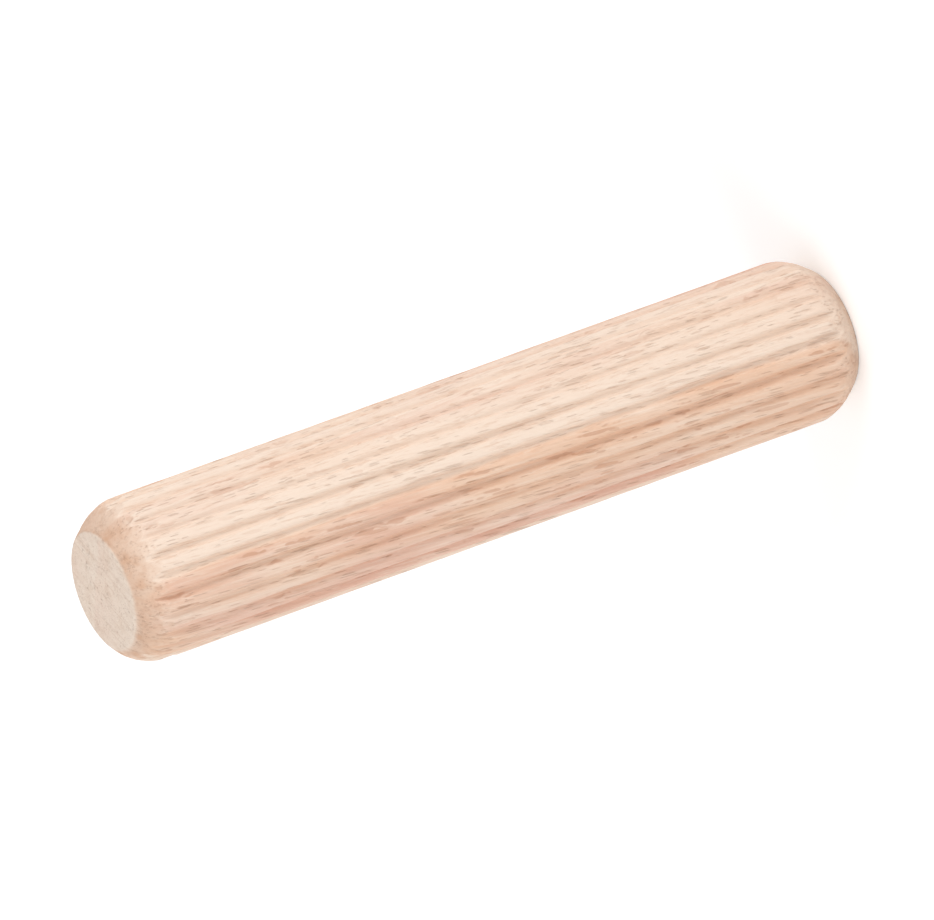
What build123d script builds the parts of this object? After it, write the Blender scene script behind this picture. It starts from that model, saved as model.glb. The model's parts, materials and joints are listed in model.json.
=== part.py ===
from build123d import *
import os
from math import pi, radians, sin, tan

os.makedirs("parts", exist_ok=True)

# A fluted hardwood dowel pin: the short beech peg that is glued into a drilled hole in each
# of two boards to join them. It is one piece of wood with nothing inside it.
#
# Frame: millimetres, +Z up along the pin, which stands on one of its two sawn ends.
# The origin is the centre of that lower end face.

# Driving dimensions, each set by itself.
pin_diameter = 8.0  # over the crests of the ridges, the nominal size of the hole it fits
pin_length = 40.0  # from sawn end to sawn end
nose_taper = 1.2  # how far each end closes in, on the radius, to its flat sawn disc
nose_length = 1.8  # how much of the pin's length each end takes to close in
nose_bulge = 0.18  # how far the nose swells out of a straight chamfer, at its middle
flute_pitch = 1.05  # the wanted spacing of the glue flutes, measured round the crests
flute_depth = 0.30  # from the crests down to the bottom of a flute
flute_angle = 68.0  # between the two sides of a flute, in degrees
flute_root_radius = 0.11  # the round bottom of a flute
crest_edge_radius = 0.08  # the soft edge between a flute's side and the ridge beside it

# What follows from them.
pin_radius = pin_diameter / 2
end_face_radius = pin_radius - nose_taper
flute_count = round(pi * pin_diameter / flute_pitch)
half_angle = radians(flute_angle / 2)

# A flute is a V whose tip is rounded off, so the sharp V goes deeper than the flute does.
# Its open side is drawn beyond the crests, where there is no wood, so that it cuts through.
v_depth = flute_depth + flute_root_radius * (1 / sin(half_angle) - 1)
v_overshoot = flute_depth
v_half_width = (v_depth + v_overshoot) * tan(half_angle)

with BuildPart() as dowel:
    # The rod, whose flutes a toothed die presses along the whole of its length. The flutes
    # are pressed before the ends are shaped, so they run straight out of both ends.
    with BuildSketch(Plane.XY) as fluted_section:
        Circle(pin_radius)
        with PolarLocations(pin_radius, flute_count):
            Polygon(
                (-v_depth, 0),
                (v_overshoot, -v_half_width),
                (v_overshoot, v_half_width),
                align=None,
                mode=Mode.SUBTRACT,
            )
        corners = fluted_section.vertices().group_by(SortBy.DISTANCE)
        fillet(corners[0], radius=flute_root_radius)
        lips = fluted_section.vertices().group_by(SortBy.DISTANCE)[-1]
        fillet(lips, radius=crest_edge_radius)
    extrude(amount=pin_length)

    # The rounded nose at each end leads the pin into its hole. It is turned last, and it
    # leaves only the middle of the sawn end flat, as a disc. The flutes run out on it.
    with BuildSketch(Plane.XZ) as turned_profile:
        with BuildLine():
            lower_nose = SagittaArc((end_face_radius, 0), (pin_radius, nose_length), -nose_bulge)
            upper_nose = SagittaArc(
                (pin_radius, pin_length - nose_length),
                (end_face_radius, pin_length),
                -nose_bulge,
            )
            Line(lower_nose @ 1, upper_nose @ 0)
            Polyline(upper_nose @ 1, (0, pin_length), (0, 0), lower_nose @ 0)
        make_face()
    revolve(axis=Axis.Z, mode=Mode.INTERSECT)

dowel.part.label = "dowel"
export_step(dowel.part, "parts/dowel.step")

print("flutes:", flute_count)
print("faces:", len(dowel.faces()), " volume mm3:", round(dowel.part.volume, 2))
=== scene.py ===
# %% [markdown]
# # A fluted beech dowel pin
#
# This lesson dresses one small object: the glued wooden peg that joins two boards. The packed
# model already gives its true size and place. Here it gets the surface that the real pin has:
# pressed flutes that are never quite even, ends that were sawn and rounded over, and beech that
# shows its rings, rays and pores.
#
# The first cell loads that model. Everything after it is measured from it, in metres.

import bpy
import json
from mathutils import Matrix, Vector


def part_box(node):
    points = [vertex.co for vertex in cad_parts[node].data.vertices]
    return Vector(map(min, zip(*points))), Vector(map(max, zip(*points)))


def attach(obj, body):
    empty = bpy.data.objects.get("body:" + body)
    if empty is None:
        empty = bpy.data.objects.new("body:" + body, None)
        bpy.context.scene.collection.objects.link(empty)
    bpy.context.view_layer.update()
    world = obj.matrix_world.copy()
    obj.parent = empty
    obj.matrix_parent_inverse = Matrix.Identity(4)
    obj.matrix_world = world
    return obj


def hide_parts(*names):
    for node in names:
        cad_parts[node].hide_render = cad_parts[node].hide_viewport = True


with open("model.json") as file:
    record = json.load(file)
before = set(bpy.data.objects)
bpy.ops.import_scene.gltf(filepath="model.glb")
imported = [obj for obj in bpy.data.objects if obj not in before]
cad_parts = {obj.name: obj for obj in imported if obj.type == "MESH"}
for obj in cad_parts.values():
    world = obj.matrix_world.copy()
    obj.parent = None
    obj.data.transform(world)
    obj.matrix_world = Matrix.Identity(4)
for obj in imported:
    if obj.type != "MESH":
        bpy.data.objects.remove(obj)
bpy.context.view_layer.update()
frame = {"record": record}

# %% [markdown]
# ## The size of the pin
#
# The pin stands on one sawn end with +Z along it. Its node gives the length, and its `shank`
# mount gives the radius over the ridges and the length of the straight part, so what is left at
# each end is the rounded nose. The finer forms get their sizes in the cells that make them.

# %% Measure the pin
import json
import math
import random

import bmesh
import bpy
import numpy as np
from mathutils import Matrix, Quaternion, Vector, kdtree, noise

MM = 0.001
foot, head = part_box("dowel")
length = head.z - foot.z
shank = next(m for m in frame["record"]["mounts"] if m["name"] == "shank")
radius = shank["dims"]["r_mm"] * MM
nose_length = (length - shank["dims"]["length_mm"] * MM) / 2
print(f"pin {length / MM:.1f} mm long and {2 * radius / MM:.1f} mm over the ridges")

# %% [markdown]
# ## The blank
#
# The real pin starts as a plain round rod. A mesh cylinder is the same start, but it needs enough
# columns to draw the flutes and enough rings to let them wander. `create_cone` with two equal
# radii makes the cylinder, `subdivide_edges` cuts its upright edges into rings, and repeated
# insets lay rings inside each sawn end, whose middle is closed to a point. Cutting the flutes
# with a Boolean would give long thin faces that can't be bent afterwards, so every point is
# there from the start and only has to be moved.

# %% Make the blank
flutes = 24
columns_per_flute = 14
wall_rings = 250
disc_rings = 9
corners_of_a_wall_face = 4


def make_blank():
    """A round rod with a point for every bend of the finished pin."""
    blank = bmesh.new()
    bmesh.ops.create_cone(
        blank,
        cap_ends=True,
        segments=flutes * columns_per_flute,
        radius1=radius,
        radius2=radius,
        depth=length,
        matrix=Matrix.Translation((0, 0, foot.z + length / 2)),
    )
    upright = [e for e in blank.edges if abs(e.verts[0].co.z - e.verts[1].co.z) > length / 2]
    bmesh.ops.subdivide_edges(blank, edges=upright, cuts=wall_rings - 1)
    for cap in [f for f in blank.faces if len(f.verts) > corners_of_a_wall_face]:
        for ring in range(disc_rings):
            bmesh.ops.inset_individual(blank, faces=[cap], thickness=radius / (disc_rings + 1))
        bmesh.ops.poke(blank, faces=[cap])
    return blank


blank = make_blank()
print("blank:", len(blank.verts), "points,", len(blank.faces), "faces")

# %% [markdown]
# ## The nose
#
# Each end was rounded over by a cutter, which left a slightly swollen chamfer round a flat sawn
# disc. Its outline is one arc, so a radius can be read off it at any height. The arc follows
# from how far the nose closes in, how long it is and how far it swells. A Bevel would round the
# corner too, but not through the flutes and not off centre.

# %% The outline of a nose
nose_taper = 1.1 * MM  # how far each end closes in to its flat disc
nose_bulge = 0.18 * MM  # how far the nose swells out of a straight chamfer
disc_radius = radius - nose_taper
nose_chord = math.hypot(nose_taper, nose_length)
arc_radius = nose_chord**2 / (8 * nose_bulge) + nose_bulge / 2
arc_inward = (arc_radius - nose_bulge) / nose_chord
arc_centre_r = (disc_radius + radius) / 2 - arc_inward * nose_length
arc_centre_h = nose_length / 2 + arc_inward * nose_taper


def nose_radius(height):
    """The nose's radius at a height above the end face, which grows past the ridges."""
    rise = min(max(height, 0) - arc_centre_h, 0)
    beyond = max(height - arc_centre_h, 0)
    return arc_centre_r + math.sqrt(arc_radius**2 - rise**2) + beyond


print(f"nose closes from {nose_radius(nose_length) / MM:.2f} to {nose_radius(0) / MM:.2f} mm")

# %% [markdown]
# ## The flutes
#
# A toothed die pressed the flutes, so each is a small V with a round bottom. Its section is
# written as a height over the distance from the flute's middle, and a soft minimum joins its
# side to the ridge without a hard corner.

# %% The section of a flute
flute_step = 2 * math.pi / flutes
flute_depth = 0.30 * MM
flute_side = math.radians(34)  # how far each side of a flute leans from upright
flute_root = 0.15 * MM  # the round at its bottom
ridge_edge = 0.09 * MM  # how softly a flute's side turns into its ridge
slope_start = flute_root * math.cos(flute_side)
slope_rise = flute_root * (1 - math.sin(flute_side))


def soft_min(a, b, blend):
    """The smaller of two sizes, with the corner where they cross rounded off."""
    near = max(blend - abs(a - b), 0) / blend
    return min(a, b) - near * near * blend / 4


def flute_floor(aside):
    """How far the flute's side has risen above its bottom, at this distance to one side."""
    aside = abs(aside)
    if aside < slope_start:
        return flute_root - math.sqrt(flute_root**2 - aside**2)
    return slope_rise + (aside - slope_start) / math.tan(flute_side)


flute_width = 2 * (slope_start + (flute_depth - slope_rise) * math.tan(flute_side))
print(f"{flutes} flutes, each {flute_width / MM:.2f} mm wide")

# %% [markdown]
# ## Uneven flutes
#
# Wood is not steel: it springs back more in one place than in another, so the same tooth leaves
# a flute that is deeper here and shallower there, and that strays a little to the side. Smooth
# noise along each flute does that. The rod also ran a little off the die's middle, so one side
# is pressed deeper, and each tooth pressed with its own strength, so some flutes are faint.

# %% Press the flutes unevenly
deep_side = math.radians(185)  # the rod lay nearer to the die's teeth on this side
usual_press = 0.97  # the share of the full depth that stays when the wood springs back
side_press = 0.17  # how much that changes from side to side
stray_width = 0.035 * MM  # how far a flute strays to the side
stray_spell = 9 * MM  # and over what length it comes back

# Three kinds of unevenness: how strong each is, over what length it changes, and the number
# that gives it a chance of its own.
slow = (0.2, 7 * MM, 40)
quick = (0.1, 2.5 * MM, 60)
by_tooth = (0.4, 60 * MM, 2403)


def drift(seed, place, spell):
    """Smooth chance from -1 to 1 that changes over about one spell of the place."""
    return noise.noise((seed * 3.7 + 0.5, place / spell, seed * 1.3))


def uneven(kind, spot, height):
    """How much deeper or shallower one kind of unevenness makes a flute, as a share."""
    strength, spell, seed = kind
    return strength * drift(spot + seed, height, spell)


def flute_dip(angle, height):
    """How far the pressed surface lies below the ridges."""
    number = round(angle / flute_step)
    spot = number % flutes
    stray = stray_width * drift(spot, height, stray_spell)
    aside = radius * (angle - number * flute_step) - stray
    depth = flute_depth * (usual_press + side_press * math.cos(angle - deep_side))
    depth *= 1 + uneven(slow, spot, height) + uneven(quick, spot, height)
    depth *= 1 + uneven(by_tooth, spot, height)
    return depth - soft_min(flute_floor(aside), depth, ridge_edge)


depths = [flute_dip(number * flute_step, length / 2) / MM for number in range(flutes)]
print(f"half way up, the flutes are {min(depths):.2f} to {max(depths):.2f} mm deep")

# %% [markdown]
# ## Where the wall of the pin lies
#
# The nose and the flutes meet by the same soft minimum as before: whichever cuts deeper wins,
# which leaves the scalloped line of a real pin. The cutter was never quite centred on the rod,
# so a nose is a little longer on one side, its rim is ragged, and its surface is torn a little.
# Chance runs from -1 to 1, and the waves of the ridges have 1 taken from it, so that they only
# ever go inwards and the pin keeps within its true size.

# %% The wall
ridge_waves = 0.012 * MM  # long, low waves that drying left in the ridges
ridge_grain = 0.010 * MM  # and shorter ones
cutter_marks = 0.016 * MM  # fine marks on the noses
off_centre = 0.10 * MM  # how far the cutter ran off the rod's middle
off_centre_turn = 2.1  # how far round the pin that side moves from one end to the other
nose_waves = 0.05 * MM  # how uneven the nose's own length is, in long waves
nose_rag = 0.03 * MM  # and in short ones
rim_rounding = 0.07 * MM  # the worn edge of the sawn disc
rim_height = 0.4 * MM  # below this the cutter's slip fades, so that the disc stays round
scallop_edge = 0.05 * MM


def waves(around, height, count, spell):
    """Smooth chance over the wall, with about this many waves round it and this spell up it."""
    return noise.noise(around * count + Vector((0, 0, height / spell)))


def wall_radius(angle, height):
    """The radius of the finished pin at an angle and a height above its foot."""
    around = Vector((math.cos(angle), math.sin(angle), 0))
    ridge = radius + ridge_waves * (waves(around, height, 9, 8 * MM) - 1)
    ridge += ridge_grain * (waves(around, height, 22, 1.6 * MM) - 1)
    pressed = ridge - flute_dip(angle, height)
    from_end = min(height, length - height)
    end = 1 if height < length / 2 else 2
    slip = off_centre * math.cos(angle - off_centre_turn * end)
    slip += nose_waves * noise.noise(around * 6 * end)
    slip += nose_rag * waves(around, end, 30, 1)
    turned = nose_radius(from_end + slip * min(from_end / rim_height, 1))
    turned -= 0.5 * max(rim_rounding - from_end, 0) ** 2 / rim_rounding
    turned += cutter_marks * (waves(around, height, 24, 0.2 * MM) - 0.6)
    return soft_min(pressed, turned, scallop_edge)


print(f"radius on a ridge: {wall_radius(flute_step / 2, length / 2) / MM:.3f} mm")

# %% [markdown]
# ## Pressing and turning
#
# Now every point of the blank is moved to where the tools left it. Columns are drawn together in
# the flutes and rings are drawn together in the noses, where the form is finest. Inside the
# sawn discs the points close up towards the rim in the same way.

# %% Shape the blank
nose_rings = 34  # rings that each nose and its rim get
nose_zone = 2.6 * MM
on_the_wall = 0.999  # points nearer to the middle than this share of the radius are in a disc
disc_crowding = 1.5  # above 1, the rings of a disc lie closer together near its rim


def ring_height(share):
    """Heights of the rings: close together near the two ends."""
    part = nose_rings / wall_rings
    return np.interp(share, (0, part, 1 - part, 1), (0, nose_zone, length - nose_zone, length))


def column_angle(angle):
    """Angles of the columns: close together in the middle of each flute."""
    turn = angle / flute_step
    number = round(turn)
    share = turn - number  # from -0.5 to 0.5, which are the ridges on the two sides
    return (number + share * (0.7 + 0.6 * abs(share))) * flute_step


def shape(blank):
    """Moves every point of the blank to where the tools left it."""
    for point in blank.verts:
        angle = column_angle(math.atan2(point.co.y, point.co.x))
        share = (point.co.z - foot.z) / length
        within = point.co.xy.length / radius
        height = float(ring_height(share))
        far = wall_radius(angle, height)
        if within < on_the_wall:
            far *= 1 - (1 - within) ** disc_crowding
        point.co = Vector((math.cos(angle) * far, math.sin(angle) * far, foot.z + height))


shape(blank)
print("shaped:", round(max(p.co.xy.length for p in blank.verts) / MM, 3), "mm at the widest")

# %% [markdown]
# ## A dab of the brush
#
# In the editor a chip would be one dab of a sculpting brush, which moves the points under it and
# moves the middle ones most. A function can do the same. A k-d tree finds the points under the
# brush, because trying all of them for each dab would be slow.

# %% The brush
def point_finder(blank):
    """A tree that finds the points near a place."""
    finder = kdtree.KDTree(len(blank.verts))
    for number, point in enumerate(blank.verts):
        finder.insert(point.co, number)
    finder.balance()
    blank.verts.ensure_lookup_table()
    return finder


def dab(blank, finder, middle, long, wide, deep):
    """Sinks an oval of the surface, longer along the fibres than across them."""
    for place, index, _ in finder.find_range(middle, long):
        along = (place.z - middle.z) / long
        across = (place.xy - middle.xy).length / wide
        inside = 1 - along**2 - across**2
        if inside > 0:
            point = blank.verts[index]
            point.co.xy -= point.co.xy.normalized() * deep * min(2 * inside, 1)


finder = point_finder(blank)
print("points that the brush can find:", len(blank.verts))

# %% [markdown]
# ## Chips and nicks
#
# Beech splits easily. The cutter that rounds the nose breaks splinters off the ridges where they
# end, and loose pins in a bag knock small nicks into each other. Their places and sizes are left
# to luck, but luck with a fixed start, so that the same pin comes out each time.

# %% Chip the ridges
luck = random.Random(11)
chips_on_a_ridge = (0, 1, 2, 2)  # one of these numbers, by luck
chip_places = (1.3, 2.3)  # millimetres from the end face
chip_sizes = (0.12, 0.32)  # millimetres
chip_reach = 0.35  # how far from the middle of its ridge a chip may lie, in flute steps
chip_form = (1.6, 0.6, 0.22)  # how long, wide and deep a chip is for its size
nicks = 26
nick_places = (0.1, 0.9)  # shares of the pin's length
nick_sizes = (0.12, 0.3)  # millimetres
nick_form = (1.5, 0.6, 0.14)


def draw_dabs():
    """A few chips where each ridge meets its nose, and nicks scattered between."""
    dabs = []
    for end in (0, 1):
        for ridge in range(flutes):
            for _ in range(luck.choice(chips_on_a_ridge)):
                from_end = luck.uniform(*chip_places) * MM
                height = from_end if end == 0 else length - from_end
                turn = (ridge + 0.5 + luck.uniform(-chip_reach, chip_reach)) * flute_step
                size = luck.uniform(*chip_sizes) * MM
                dabs.append((turn, height, *(share * size for share in chip_form)))
    for _ in range(nicks):
        turn = luck.uniform(0, 2 * math.pi)
        size = luck.uniform(*nick_sizes) * MM
        height = luck.uniform(*nick_places) * length
        dabs.append((turn, height, *(share * size for share in nick_form)))
    return dabs


dabs = draw_dabs()
for turn, height, long, wide, deep in dabs:
    far = wall_radius(turn, height)
    middle = Vector((math.cos(turn) * far, math.sin(turn) * far, foot.z + height))
    dab(blank, finder, middle, long, wide, deep)
print("chips:", len(dabs) - nicks, "nicks:", nicks)

# %% [markdown]
# ## What the finish needs to know
#
# Two facts about each point steer the finish later: how squarely the surface cuts across the
# fibres there, and how far the die pressed it in. They travel with the mesh as attributes,
# which an exporter can read as well as Blender can.

# %% Mark the surface
def mark_surface(blank):
    """Writes both facts on every point, and gives back the highest of each."""
    blank.normal_update()
    cut_across = blank.verts.layers.float.new("cut_across")
    pressed_in = blank.verts.layers.float.new("pressed_in")
    for point in blank.verts:
        height = point.co.z - foot.z
        from_end = min(height, length - height)
        depth = min(radius, nose_radius(from_end)) - point.co.xy.length
        point[cut_across] = abs(point.normal.z)
        point[pressed_in] = min(max(depth / flute_depth, 0), 1) if from_end > 0 else 0
    return [max(point[layer] for point in blank.verts) for layer in (cut_across, pressed_in)]


print("most cut across and most pressed in:", [round(most, 2) for most in mark_surface(blank)])

# %% [markdown]
# ## An unrolled map
#
# The mesh also carries a flat map of its surface, so that its finish can be baked. The side of a
# rod unrolls into one sheet without any stretching, so no automatic unwrap is needed. The two
# sawn discs lie beside the sheet.

# %% Unroll the surface
map_margin = 0.02  # the empty edge of the map, as a share of the pin's length
disc_shift = 1.4  # from the sheet to the middle of a disc, in radii of the disc
disc_heights = (0.3, 0.7)  # how far up the sheet the discs of the foot and the head lie
flat_enough = 1e-9  # a face this near to the height of an end is part of its disc


def unroll(blank):
    """Lays out the side as a sheet, with the two sawn discs beside it."""
    sheet = blank.loops.layers.uv.new("OFBake")
    margin = map_margin * length
    room = length + 2 * margin
    disc_middle = 2 * math.pi * radius + disc_shift * disc_radius
    for face in blank.faces:
        middle = face.calc_center_median()
        turn = math.atan2(middle.y, middle.x) % (2 * math.pi)
        on_foot = abs(middle.z - foot.z) < flat_enough
        on_head = abs(middle.z - head.z) < flat_enough
        for loop in face.loops:
            place = loop.vert.co
            if on_foot or on_head:
                across = disc_middle + place.x
                up = disc_heights[0 if on_foot else 1] * length + place.y
            else:
                aside = math.atan2(place.y, place.x) - turn
                aside = (aside + math.pi) % (2 * math.pi) - math.pi
                across = (turn + aside) * radius
                up = place.z - foot.z
            loop[sheet].uv = ((across + margin) / room, (up + margin) / room)
    return (disc_middle + disc_radius + margin) / room


print(f"the map reaches {unroll(blank):.2f} of the way across")

# %% [markdown]
# ## Into the scene
#
# The finished mesh becomes one smooth-shaded piece that replaces the plain solid.

# %% Put the pin in the scene
def add_piece(name, mesh_maker):
    """Turns a finished mesh into an object of the scene."""
    mesh = bpy.data.meshes.new(name)
    mesh_maker.to_mesh(mesh)
    mesh_maker.free()
    mesh.shade_smooth()
    piece = bpy.data.objects.new(name, mesh)
    bpy.context.collection.objects.link(piece)
    return piece


pin = add_piece("fluted_pin", blank)
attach(pin, "root")
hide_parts("dowel")
print("in the scene:", pin.name, "with", len(pin.data.polygons), "faces")

# %% [markdown]
# ## Sums that build a finish
#
# A finish is a sum of many patterns, and sums read best as sums. A `Wire` wraps one socket, and
# adding, taking away or multiplying wires adds the Math node that does it. The same could be
# drawn by hand in the Shader Editor, but a finish of this size is hard to read there.

# %% Wires
class Wire:
    """One value of a finish. Sums on it add the Math nodes that work them out."""

    def __init__(self, finish, socket):
        self.finish = finish
        self.socket = socket

    def maths(self, operation, first, second):
        """Adds one Math node and gives back what comes out of it."""
        return self.finish.node("ShaderNodeMath", {"operation": operation}, {0: first, 1: second})

    def __add__(self, other):
        return self.maths("ADD", self, other)

    def __sub__(self, other):
        return self.maths("SUBTRACT", self, other)

    def __rsub__(self, other):
        return self.maths("SUBTRACT", other, self)

    def __mul__(self, other):
        return self.maths("MULTIPLY", self, other)

    def __pow__(self, other):
        return self.maths("POWER", self, other)

    __radd__ = __add__
    __rmul__ = __mul__


print("wires can be summed with + - * and **")

# %% [markdown]
# ## A finish and its nodes
#
# A `Finish` belongs to a material, or to the world, and hands out its nodes. Every node apart
# from a sum comes from the one method `node`, and the few patterns that wood needs again and
# again are short methods on top of it: a smooth step, a blend of two colours, smooth chance and
# scattered spots.

# %% Finishes
class Finish:
    """The nodes of a material or of the world, put together from wires."""

    def __init__(self, owner):
        owner.use_nodes = True
        self.owner = owner
        self.tree = owner.node_tree
        self.shader = next(node for node in self.tree.nodes if node.outputs)

    def node(self, kind, settings=None, sockets=None, output=None):
        """Adds a node with its settings, then its sockets' values or wires."""
        made = self.tree.nodes.new(kind)
        for name, value in (settings or {}).items():
            setattr(made, name, value)
        for name, value in (sockets or {}).items():
            if isinstance(name, int):
                socket = made.inputs[name]
            else:
                socket = next(s for s in made.inputs if s.enabled and s.name == name)
            self.give(socket, value)
        outputs = [s for s in made.outputs if s.enabled]
        chosen = outputs[0] if output is None else next(s for s in outputs if s.name == output)
        return Wire(self, chosen)

    def give(self, socket, value):
        """Links a wire to a socket, or sets the socket's own value."""
        if isinstance(value, Wire):
            self.tree.links.new(value.socket, socket)
        else:
            socket.default_value = value

    def feed(self, name, value):
        """Gives a value or a wire to one of the shader's own sockets."""
        self.give(self.shader.inputs[name], value)

    def step(self, value, low, high):
        """0 below low, 1 above high and a smooth rise between."""
        settings = {"interpolation_type": "SMOOTHSTEP"}
        sockets = {"Value": value, "From Min": low, "From Max": high}
        return self.node("ShaderNodeMapRange", settings, sockets)

    def blend(self, share, first, second):
        """One colour turning into another as the share goes from 0 to 1."""
        sockets = {"Factor": share, "A": first, "B": second}
        return self.node("ShaderNodeMix", {"data_type": "RGBA"}, sockets)

    def scaled(self, place, scale):
        """The place, scaled in each direction, so that a pattern on it turns finer or longer."""
        return self.node("ShaderNodeMapping", {}, {"Vector": place, "Scale": scale})

    def chance(self, place, detail=2.0, roughness=0.5, output="Fac"):
        """Smooth chance from 0 to 1, with one hill or so to each unit of the place."""
        sockets = {"Vector": place, "Scale": 1.0, "Detail": detail, "Roughness": roughness}
        return self.node("ShaderNodeTexNoise", {}, sockets, output)

    def spots(self, place, size):
        """1 in the middle of scattered spots, one to each unit of the place, and 0 between."""
        sockets = {"Vector": place, "Scale": 1.0}
        near = self.node("ShaderNodeTexVoronoi", {}, sockets, "Distance")
        return 1 - self.step(near, size * 0.6, size)

    def seen_straight_on(self):
        """1 for what the camera sees itself and 0 for light that bounces."""
        return self.node("ShaderNodeLightPath", output="Is Camera Ray")


beech = Finish(bpy.data.materials.new("beech"))
print("beech starts with", len(beech.tree.nodes), "nodes, and the first is a", beech.shader.name)

# %% [markdown]
# ## Beech, from the inside
#
# Real grain is not painted on: the surface cuts through a solid that has its own build. So the
# pattern is made in three directions, in millimetres, from the tree's heart outwards. `out` runs
# away from the heart, `around` runs along a ring and `up` runs along the fibres. The same rings,
# rays and pores then show as bands and dashes on the side and as arcs, lines and dots on the
# ends. The tree was not quite straight, so the rings sway a little and the fibres lean.

# %% Where the wood grew
heart_distance = 42.0  # millimetres from the pin's axis to the heart of the tree
heart_angle = math.radians(-100)
heart_lean = (0.012, 0.006)  # how far the heart leans from the pin for each length up it
fibre_lean = 0.09  # how far the fibres drift round their ring for each length up it
sway_width = 0.4  # millimetres


def grown(finish):
    """Places in the wood: out from the heart, round the ring and up the fibres."""
    own = finish.node("ShaderNodeTexCoord", output="Object")
    place = finish.scaled(own, (1 / MM,) * 3)
    sway = finish.chance(finish.scaled(place, (0.06, 0.06, 0.05)), 1.0, output="Color")
    for operation, amount in (
        ("SUBTRACT", (0.5, 0.5, 0.5)),
        ("MULTIPLY", (sway_width, sway_width, 0.0)),
    ):
        sway = finish.node("ShaderNodeVectorMath", {"operation": operation}, {0: sway, 1: amount})
    place = finish.node("ShaderNodeVectorMath", {"operation": "ADD"}, {0: place, 1: sway})
    split = finish.node("ShaderNodeSeparateXYZ", {}, {0: place})
    x, y, up = (Wire(finish, s) for s in split.socket.node.outputs)
    x = x - heart_distance * math.cos(heart_angle) + up * heart_lean[0]
    y = y - heart_distance * math.sin(heart_angle) - up * heart_lean[1]
    out = (x * x + y * y) ** 0.5 - heart_distance
    turn = finish.node("ShaderNodeMath", {"operation": "ARCTAN2"}, {0: y, 1: x})
    return place, out, turn * heart_distance + up * fibre_lean, up


place, out, around, up = grown(beech)
wobble = beech.chance(beech.scaled(place, (1.4, 1.4, 0.8)), 2.0, 0.6) - 0.5
bend_out, bend_around, bend_up = 2.4, 0.2, 1.6  # how far a full bend moves a place, in wobbles


def in_wood(across, along, lengthways, bend=0.0):
    """The place, scaled to this many features a millimetre out, round the ring and up."""
    sockets = {
        0: (out + wobble * (bend_out * bend)) * across,
        1: (around + wobble * (bend_around * bend)) * along,
        2: (up + wobble * (bend_up * bend)) * lengthways,
    }
    return beech.node("ShaderNodeCombineXYZ", {}, sockets)


print("places in the wood take", len(beech.tree.nodes), "nodes")

# %% [markdown]
# ## Rings
#
# A tree adds one ring a year. The wood grows darker towards the end of the year and then starts
# pale again at once, so `late` climbs along each ring and drops sharply at its edge. A Wave
# texture would give the same darkness to every ring. Here each ring has its own, from chance.

# %% Rings
ring_spacing = 3.6  # millimetres
ring_shift = 1.63  # where in a ring the pin's axis lies
year_end = 0.90  # the share of a ring at which its late wood starts to end

ring_sway = beech.chance(in_wood(0.35, 0.25, 0.05)) * 0.35
ring_turn = out * (1 / ring_spacing) + ring_sway + ring_shift
ring_share = beech.node("ShaderNodeMath", {"operation": "FRACT"}, {0: ring_turn})
ring_number = beech.node("ShaderNodeMath", {"operation": "FLOOR"}, {0: ring_turn})
one_for_each = {"noise_dimensions": "1D"}
ring_strength = beech.node("ShaderNodeTexWhiteNoise", one_for_each, {"W": ring_number}, "Value")
late = (ring_share**1.5) * (1 - beech.step(ring_share, year_end, 1.0)) * (ring_strength * 0.7 + 0.3)
print(f"a ring every {ring_spacing} mm, so about {2 * radius / MM / ring_spacing:.1f} in the pin")

# %% [markdown]
# ## Streaks, strands and fibres
#
# Everything in wood is long: a fibre runs up the pin far further than across it. So the same
# smooth chance serves at every scale, drawn out upwards, from broad patches of tone down to the
# single fibres with their gaps.

# %% Fibres
patches = beech.chance(in_wood(0.25, 0.25, 0.06), 2.0)  # broad parts, pinker or browner
blush = beech.chance(in_wood(0.6, 0.6, 0.11), 2.0)  # where late wood is strong or faint
streaks = beech.chance(in_wood(1.3, 1.3, 0.045), 3.0, 0.55)  # long paler and darker lines
strands = beech.chance(in_wood(4.5, 4.5, 0.11), 3.0, 0.6)  # bundles of fibres
fibres = beech.chance(in_wood(9.0, 9.0, 0.2), 4.0, 0.75)
gap_shade_mask = 1 - beech.step(fibres, 0.32, 0.50)  # the gaps between the fibres, which are darkened as painted shade
print("rings and fibres take", len(beech.tree.nodes), "nodes")

# %% [markdown]
# ## Rays and pores
#
# Beech is known by its rays: flat ribbons that run out from the heart and show as short dark
# dashes wherever the surface cuts through them. Its pores are far finer. Both are scattered
# spots whose size is itself left to chance, so that some places have many and others none.

# %% Rays and pores
ray_size = beech.chance(in_wood(0.8, 1.7, 0.3), 1.0) * 0.6 - 0.04
rays = beech.spots(in_wood(2.2, 3.0, 0.24, 0.4), ray_size)  # they weave a little
fine_rays = beech.spots(in_wood(1.0, 5.0, 0.6, 0.8), ray_size)
pore_size = beech.chance(in_wood(1.3, 1.3, 0.3), 3.0) * 1.1 - 0.3
pores = beech.spots(in_wood(9.0, 9.0, 0.5), pore_size)
print("with rays and pores:", len(beech.tree.nodes), "nodes")

# %% [markdown]
# ## What the tools left on the wood
#
# On the sawn ends the rays show as lines across the disc, the saw left fine parallel marks, and
# the ends of the fibres are torn out in some places and crushed in others. The cutter crushed
# them on the noses too.

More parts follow.
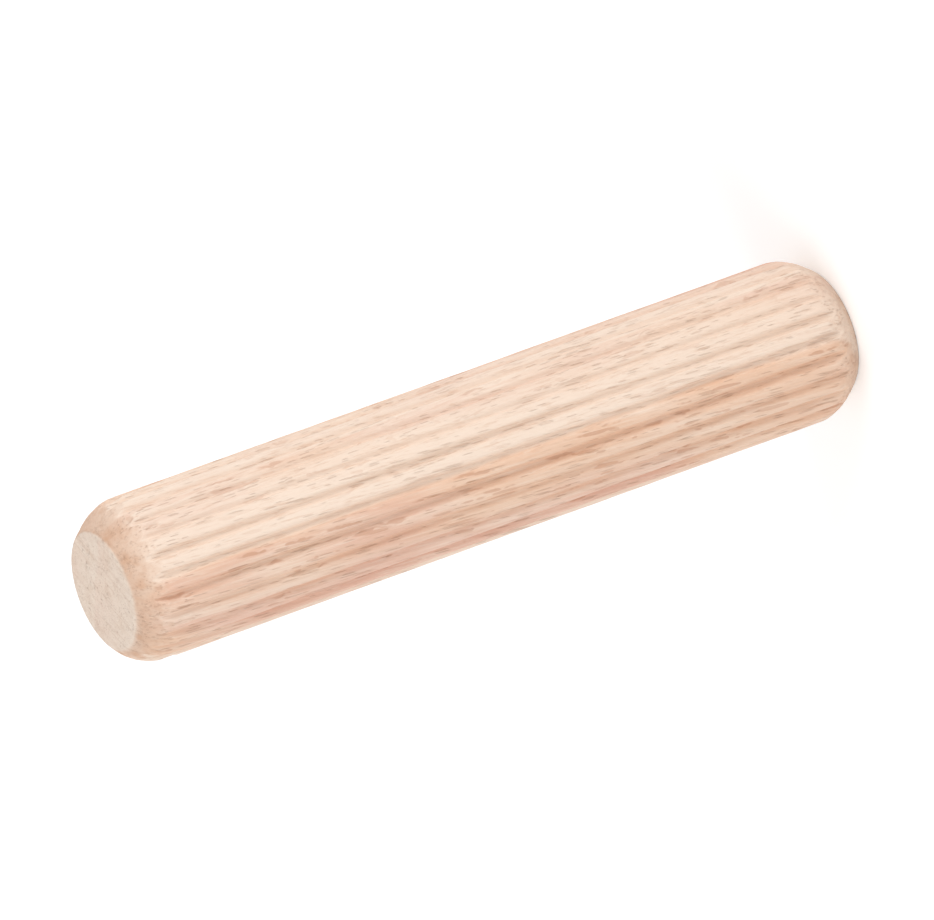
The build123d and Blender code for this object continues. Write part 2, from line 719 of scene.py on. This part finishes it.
# %% Marks of the tools
ray_lines = beech.step(beech.chance(in_wood(0.12, 3.4, 0.12), 3.0, 0.6), 0.54, 0.66)
across_saw = out * 0.5 + around * 0.87 + wobble * 0.4  # the saw ran at a slant to the rings
saw_sockets = {0: across_saw * 4.5, 1: out * 0.3, 2: up * 0.5}
saw_lines = beech.chance(beech.node("ShaderNodeCombineXYZ", {}, saw_sockets), 3.0, 0.7)
tearing = beech.chance(beech.scaled(place, (3.2, 3.2, 1.6)), 4.0, 0.7)
torn = beech.step(tearing, 0.60, 0.72)
crushing = beech.chance(beech.scaled(place, (1.1, 1.1, 0.8)), 3.0, 0.6)
crushed = beech.step(crushing, 0.45, 0.68)
print("with the marks of the tools:", len(beech.tree.nodes), "nodes")

# %% [markdown]
# ## Colours by name
#
# A colour is written as a screen shows it, from 0 to 255. Shaders work in linear light, where
# twice the number is twice the light, so `colour` turns one into the other. Each colour of the
# wood gets a name once, which keeps the sums that follow readable.

# %% Name the colours
def colour(red, green, blue):
    """A colour given as on a screen, from 0 to 255, in the linear values that shaders use."""
    shares = (red / 255, green / 255, blue / 255)
    return (*(c / 12.92 if c < 0.04045 else ((c + 0.055) / 1.055) ** 2.4 for c in shares), 1)


early_wood = colour(242, 221, 203)
tan_late_wood = colour(232, 193, 165)
pink_late_wood = colour(226, 182, 161)
# The next colour is painted shade for the gaps between the fibres.
gap_shade_brown = colour(218, 182, 156)
# The next colour is a painted highlight for the raised fibres.
painted_fibre_highlight = colour(243, 226, 209)
ray_brown = colour(196, 144, 114)
fine_ray_brown = colour(204, 158, 128)
pore_brown = colour(194, 142, 108)
# The next colour is browner crushed wood in the flutes, which also serves as painted shade in them.
pressed_and_groove_shade_brown = colour(214, 168, 138)
# The next colour is pale end grain, painted paler still as painted light.
sawn_cream_and_painted_light = colour(244, 228, 213)
crushed_brown = colour(216, 186, 162)
ray_line_brown = colour(206, 174, 150)
saw_line_brown = colour(216, 190, 170)
torn_brown = colour(198, 154, 124)
turned_brown = colour(211, 165, 133)
print("early wood in linear light:", [round(share, 3) for share in early_wood[:3]])

# %% [markdown]
# ## The colours of beech
#
# Fresh beech is a pale cream that turns pinkish brown towards the end of each ring. Its rays are
# short darker dashes, and its pores are finer and darker still. Where the die squeezed the wood
# it is a little browner, and the bottoms of the flutes get more of that brown as painted shade.
# The gaps between the fibres are darkened as painted shade, and the raised fibres are painted
# paler as a painted highlight. Each of these lies over the last one, by a share of its own.

# %% The colour of the side
cut_across = beech.node("ShaderNodeAttribute", {"attribute_name": "cut_across"}, {}, "Fac")
pressed_in = beech.node("ShaderNodeAttribute", {"attribute_name": "pressed_in"}, {}, "Fac")
tone = late * (1.1 + (strands - 0.5) * 2.2 + (blush - 0.5) * 2.4)
tone = tone + (streaks - 0.5) * 0.45 + (patches - 0.5) * 0.25
late_wood = beech.blend(beech.step(patches, 0.40, 0.60), tan_late_wood, pink_late_wood)
wood = beech.blend(beech.step(tone, -0.1, 0.85), early_wood, late_wood)
# Painted shade: the gaps between the fibres are darkened, as shade in them would darken them.
wood = beech.blend(gap_shade_mask * 0.5, wood, gap_shade_brown)
# Painted highlight: the raised fibres are painted paler, as light catching their tops would.
wood = beech.blend(beech.step(fibres, 0.50, 0.68) * 0.4, wood, painted_fibre_highlight)
wood = beech.blend(rays * (late * 0.8 + 0.11), wood, ray_brown)
wood = beech.blend(fine_rays * 0.16, wood, fine_ray_brown)
wood = beech.blend(pores * (0.19 + late * 0.18), wood, pore_brown)
# Partly the browner crushed wood of the flutes, and partly painted shade in their bottoms.
wood = beech.blend(beech.step(pressed_in, 0.5, 1.05) * 0.10, wood, pressed_and_groove_shade_brown)
print("with the colour of its side:", len(beech.tree.nodes), "nodes")

# %% [markdown]
# ## The colours of the ends
#
# Where the surface cuts squarely across the fibres it is paler and greyer, because it looks into
# their open ends, and the sawn disc is painted paler still as painted light, for the lamp light
# that reaches it only at a slant. The noses are browner: the cutter rubbed and warmed them. Their
# brown also grows towards the upper end, so that the nose at the foot is paler. How squarely the
# surface cuts the fibres tells the side, the nose and the sawn disc apart.

# %% The colour of the ends
# The pale end grain of the sawn ends, painted paler still as painted light for the lamp light the
# disc misses.
sawn = beech.blend(0.65, wood, sawn_cream_and_painted_light)
sawn = beech.blend(crushed * 0.3, sawn, crushed_brown)
sawn = beech.blend(ray_lines * 0.25, sawn, ray_line_brown)
sawn = beech.blend(beech.step(saw_lines, 0.45, 0.70) * 0.2, sawn, saw_line_brown)
sawn = beech.blend(torn * 0.35, sawn, torn_brown)
end_share = beech.step(cut_across, 0.15, 0.95)
wood = beech.blend(end_share * 0.9, wood, sawn)
turned = beech.step(cut_across, 0.1, 0.75) * (1 - beech.step(cut_across, 0.75, 0.95))
# The brown grows towards the upper end, so that the nose at the foot is paler.
wood = beech.blend(turned * (crushed * 0.25 + up * 0.010 + 0.16), wood, turned_brown)
beech.feed("Base Color", wood)
print("with the colour of its ends:", len(beech.tree.nodes), "nodes")

# %% [markdown]
# ## The feel of it
#
# The pin is bare wood: matt, a little smoother where the die pressed it. Pores and the gaps
# between fibres are tiny grooves, so the same patterns drive a bump. They are too fine to be
# worth a point of the mesh each. Across the sawn ends the fibres stand as a fuzzy nap.

# %% Roughness and relief
groove_depth = 0.05 * MM

beech.feed("Roughness", 0.62 + fibres * 0.16 + end_share * 0.12 - pressed_in * 0.1)
beech.feed("IOR", 1.4)
relief = fibres * 0.6 + strands * 0.5 - pores * 0.5 - rays * 0.15 + streaks * 0.2
nap = beech.chance(beech.scaled(place, (12.0, 12.0, 12.0)), 4.0, 0.7)
relief = relief + (nap * 0.9 + saw_lines * 0.6 - torn * 0.8) * end_share
bump_sockets = {"Height": relief, "Distance": groove_depth, "Strength": 1.0}
beech.feed("Normal", beech.node("ShaderNodeBump", {}, bump_sockets))
pin.data.materials.append(beech.owner)
print("the whole finish:", len(beech.tree.nodes), "nodes and", len(beech.tree.links), "links")

# %% [markdown]
# ## The floor
#
# The pin stands on a plain sheet of white paper. A sheet that is lit only by the lamps would
# look grey, and brighter lamps would spoil the wood. So the paper glows a little by itself, but
# only where the camera sees it directly. The pin gets none of that light, and its shadow still
# falls on the paper.

# %% Floor
paper_white = colour(245, 245, 245)
no_glow = (0, 0, 0, 1)
paper_glow = (0.22, 0.22, 0.22, 1)


def add_floor():
    """A flat sheet, far wider than the pin is long."""
    maker = bmesh.new()
    bmesh.ops.create_grid(maker, x_segments=1, y_segments=1, size=1.0)
    return add_piece("floor", maker)


floor = add_floor()
paper = Finish(bpy.data.materials.new("white_paper"))
paper.feed("Base Color", paper_white)
paper.feed("Roughness", 0.9)
paper.feed("Emission Color", paper.blend(paper.seen_straight_on(), no_glow, paper_glow))
paper.feed("Emission Strength", 1.0)
floor.data.materials.append(paper.owner)
print("floor:", [round(side, 2) for side in floor.dimensions[:2]], "m")

# %% [markdown]
# ## The camera
#
# The camera looks down a slant at the pin from a long way off through a long lens, so that the
# pin's sides stay parallel. It is rolled so that the pin lies across the view with its upper end
# towards the viewer. Turning the camera and not the pin leaves the pin standing where the
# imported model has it.

# %% Camera
camera_azimuth = math.radians(35)
camera_elevation = math.radians(25)
camera_roll = math.radians(-109.8)
lens = 1100.0
sensor = 36.0
view_width = 44 * MM
camera_distance = view_width * lens / sensor

middle = Vector((0, 0, foot.z + length / 2))
flat = Vector((math.sin(camera_azimuth), -math.cos(camera_azimuth), 0))
back = flat * math.cos(camera_elevation) + Vector((0, 0, math.sin(camera_elevation)))
camera_turn = (-back).to_track_quat("-Z", "Y") @ Quaternion((0, 0, 1), camera_roll)


def add_camera():
    """The camera, far back along the line of view and rolled."""
    data = bpy.data.cameras.new("camera")
    data.lens = lens
    data.sensor_width = sensor
    data.clip_start = 0.01
    data.clip_end = 5.0
    camera = bpy.data.objects.new("camera", data)
    camera.rotation_mode = "QUATERNION"
    camera.rotation_quaternion = camera_turn
    camera.location = middle + back * camera_distance
    bpy.context.collection.objects.link(camera)
    bpy.context.scene.camera = camera


add_camera()
print(f"the camera stands {camera_distance:.2f} m from the pin")

# %% [markdown]
# ## The lamps
#
# Wood shows its flutes when soft light comes from the side. A wide window stands over the upper
# edge of the view, a white card below it fills the shadows, and a second window stands behind.
# A lamp's power grows with the square of its distance, so each lamp is given by its share of
# the light that shows a colour as it is written.

# %% Lamps
lamp_distance = 0.6


def add_lamp(name, aim, size, share):
    """A square soft lamp that faces the pin, with its share of the light."""
    data = bpy.data.lights.new(name, "AREA")
    data.shape = "SQUARE"
    data.size = size
    data.energy = share * math.pi**2 * lamp_distance**2
    lamp = bpy.data.objects.new(name, data)
    lamp.location = middle + aim.normalized() * lamp_distance
    lamp.rotation_mode = "QUATERNION"
    lamp.rotation_quaternion = aim.to_track_quat("Z", "Y")
    bpy.context.collection.objects.link(lamp)
    print(f"{name}: {data.energy:.2f} W")


view_up = camera_turn @ Vector((0, 1, 0))
above = Vector((0, 0, 1))
add_lamp("window", view_up + back * 0.6 + above * 0.5, 0.40, 0.40)
add_lamp("white_card", above * 0.05 - view_up + back * 0.75, 0.50, 0.31)
add_lamp("far_window", above * 0.4 - view_up * 0.4 - back * 0.8, 0.40, 0.28)

# %% [markdown]
# ## The room
#
# The rest of the light comes evenly from all round, as in a white room. What the camera sees of
# the room itself is pure white, whatever that light is, so the background and the light on the
# pin can be set apart from each other.

# %% Room light
room_light = 0.67
white = (1, 1, 1, 1)

room = Finish(bpy.data.worlds.new("room"))
room.feed("Color", white)
room.feed("Strength", room_light)
lit = Wire(room, room.shader.outputs[0])
seen = room.node("ShaderNodeBackground", {}, {"Color": white, "Strength": 1.0})
choice = room.node("ShaderNodeMixShader", {}, {0: room.seen_straight_on(), 1: lit, 2: seen})
room.give(room.tree.nodes["World Output"].inputs["Surface"], choice)
bpy.context.scene.world = room.owner
bpy.context.scene.view_settings.view_transform = "Standard"
print("room light:", room_light, "view:", bpy.context.scene.view_settings.view_transform)
